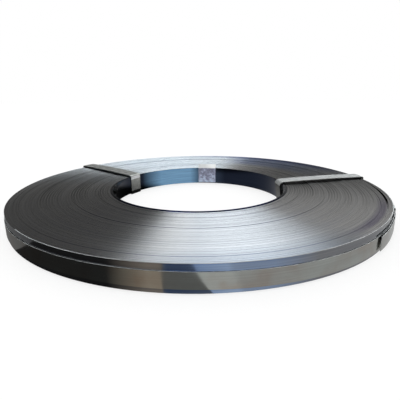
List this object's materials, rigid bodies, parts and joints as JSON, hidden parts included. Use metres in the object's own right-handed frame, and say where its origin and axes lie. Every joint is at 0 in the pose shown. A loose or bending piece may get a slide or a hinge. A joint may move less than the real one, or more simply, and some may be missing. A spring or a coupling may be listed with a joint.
{
  "type": "strapped coil of steel strip",
  "caption": "Flat ribbon-wound coil of narrow steel strip with an open bore, a steel strap round the rim and two radial steel ties.",
  "frame": {"origin": "on the floor, at the coil's axis", "axes": "+Z along the bore axis, up; -Y towards the side that the picture shows nearest; +X to its right"},
  "size_m": [0.6047, 0.6022, 0.0422],
  "materials": {
    "coil_steel": "blued cold-rolled strip, polished by the rolls",
    "strap_steel": "bright cold-rolled strap",
    "tie_steel": "satin galvanised strap",
    "seal_steel": "galvanised pressed clip",
    "tag_paper": "blank coated paper"
  },
  "bodies": {
    "root": {"strip_coil": "coil_steel", "girth_strap": "strap_steel", "girth_seal": "seal_steel", "tie_strap_left": "tie_steel", "tie_seal_left": "seal_steel", "tie_strap_right": "tie_steel", "tie_seal_right": "seal_steel", "bore_tag": "tag_paper"}
  },
  "joints": []
}
